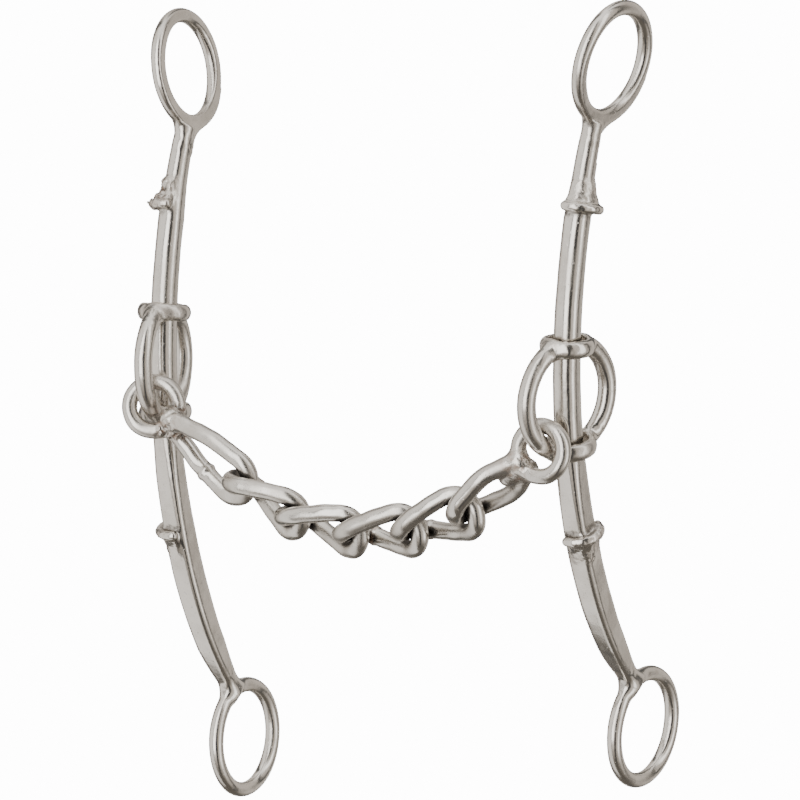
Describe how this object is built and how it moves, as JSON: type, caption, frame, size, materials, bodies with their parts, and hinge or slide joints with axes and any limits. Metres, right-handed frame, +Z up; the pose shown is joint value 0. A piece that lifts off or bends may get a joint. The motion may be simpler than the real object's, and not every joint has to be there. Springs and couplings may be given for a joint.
{
  "type": "curb bit",
  "caption": "Sliding-gag chain-mouth bit: two curved cheeks with a ring at each end, two slider rings between stops, and a mouthpiece of twisted links.",
  "frame": {"origin": "middle of the hanging mouthpiece chain, at the joint of links 3 and 4", "axes": "+X across the mouth from the left cheek to the right, -Y towards the front of the lips, +Z up"},
  "size_m": [0.1522, 0.0783, 0.235],
  "materials": {
    "cheek_steel": "satin polished, worn, with dark patina in the corners",
    "chain_steel": "satin polished, pitted, with dark patina and a little rust at the welds"
  },
  "bodies": {
    "chain_link_3": {"chain_link_3": "chain_steel"},
    "chain_link_2": {"chain_link_2": "chain_steel"},
    "chain_link_1": {"chain_link_1": "chain_steel", "left_mouth_eye": "cheek_steel"},
    "chain_link_4": {"chain_link_4": "chain_steel"},
    "chain_link_5": {"chain_link_5": "chain_steel"},
    "chain_link_6": {"chain_link_6": "chain_steel", "right_mouth_eye": "cheek_steel"},
    "left_slider": {"left_slider_front_bow": "cheek_steel", "left_slider_rear_bow": "cheek_steel", "left_slider_upper_collar": "cheek_steel", "left_slider_lower_collar": "cheek_steel"},
    "left_cheek": {"left_headstall_ring": "cheek_steel", "left_shank_bar": "cheek_steel", "left_rein_ring": "cheek_steel", "left_upper_stop": "cheek_steel", "left_lower_stop": "cheek_steel"},
    "right_slider": {"right_slider_front_bow": "cheek_steel", "right_slider_rear_bow": "cheek_steel", "right_slider_upper_collar": "cheek_steel", "right_slider_lower_collar": "cheek_steel"},
    "right_cheek": {"right_headstall_ring": "cheek_steel", "right_shank_bar": "cheek_steel", "right_rein_ring": "cheek_steel", "right_upper_stop": "cheek_steel", "right_lower_stop": "cheek_steel"}
  },
  "joints": [
    {"name": "link_2_bend", "type": "hinge", "parent": "chain_link_3", "child": "chain_link_2", "pos_m": [-0.01722, 0, 0.00319], "axis": [0, 1, 0], "range_deg": [-34, 4]},
    {"name": "link_1_bend", "type": "hinge", "parent": "chain_link_2", "child": "chain_link_1", "pos_m": [-0.03421, 0, 0.01075], "axis": [0, 1, 0], "range_deg": [-26.6, 11.4]},
    {"name": "link_4_bend", "type": "hinge", "parent": "chain_link_3", "child": "chain_link_4", "pos_m": [0.0012, 0, 0.0006], "axis": [0, -1, 0], "range_deg": [-34, 4]},
    {"name": "link_5_bend", "type": "hinge", "parent": "chain_link_4", "child": "chain_link_5", "pos_m": [0.01962, 0, 0.00319], "axis": [0, -1, 0], "range_deg": [-31.5, 6.5]},
    {"name": "link_6_bend", "type": "hinge", "parent": "chain_link_5", "child": "chain_link_6", "pos_m": [0.03692, 0, 0.01001], "axis": [0, -1, 0], "range_deg": [-35.1, 2.9]},
    {"name": "left_slider_swing", "type": "hinge", "parent": "chain_link_1", "child": "left_slider", "pos_m": [-0.06226, -0.00017, 0.02811], "axis": [0.1279, -0.7022, 0.7004], "range_deg": [-25, 15]},
    {"name": "left_cheek_slide", "type": "hinge", "parent": "left_slider", "child": "left_cheek", "pos_m": [-0.06867, 0.16588, 0.02854], "axis": [-0.9985, -0.0279, -0.047], "range_deg": [-9.12, 10.76]},
    {"name": "right_slider_swing", "type": "hinge", "parent": "chain_link_6", "child": "right_slider", "pos_m": [0.06152, 0.00042, 0.03015], "axis": [-0.1939, -0.8337, 0.517], "range_deg": [-15, 25]},
    {"name": "right_cheek_slide", "type": "hinge", "parent": "right_slider", "child": "right_cheek", "pos_m": [0.06874, 0.163, 0.05978], "axis": [-0.999, 0.0245, 0.0378], "range_deg": [-11.98, 7.9]}
  ]
}
